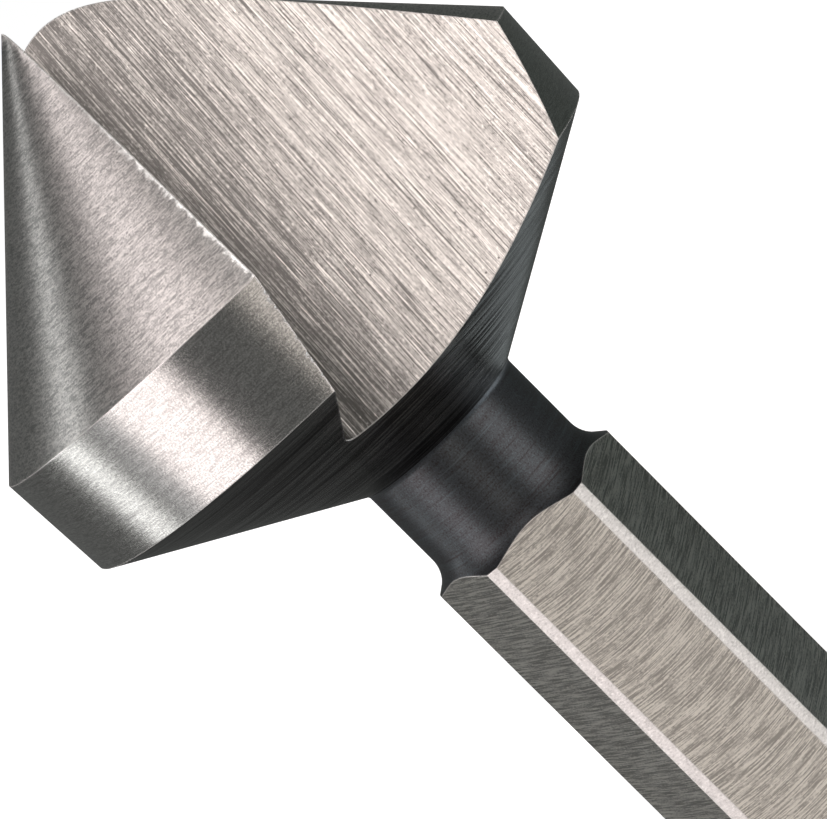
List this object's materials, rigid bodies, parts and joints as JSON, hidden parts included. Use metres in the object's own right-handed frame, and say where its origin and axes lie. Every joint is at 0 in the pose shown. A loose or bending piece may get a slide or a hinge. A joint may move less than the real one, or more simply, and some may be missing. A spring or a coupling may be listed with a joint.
{
  "type": "countersink bit",
  "caption": "Cone-headed steel bit with a straight ground flute, a necked back and a hexagon drive shank, for bevelling the mouths of drilled holes.",
  "frame": {"origin": "centre of the shank's end face, which the bit stands on", "axes": "+Z along the tool's axis, from the shank's end to the point; -Y is the way the flute's floor faces; +X is to the right when the flute is looked at"},
  "size_m": [0.0204, 0.0204, 0.0401],
  "materials": {
    "tool_steel": "ground bright on the cone, land, flute and shank; black oxide left on the back cone and neck"
  },
  "bodies": {
    "root": {"countersink_bit": "tool_steel"}
  },
  "joints": []
}
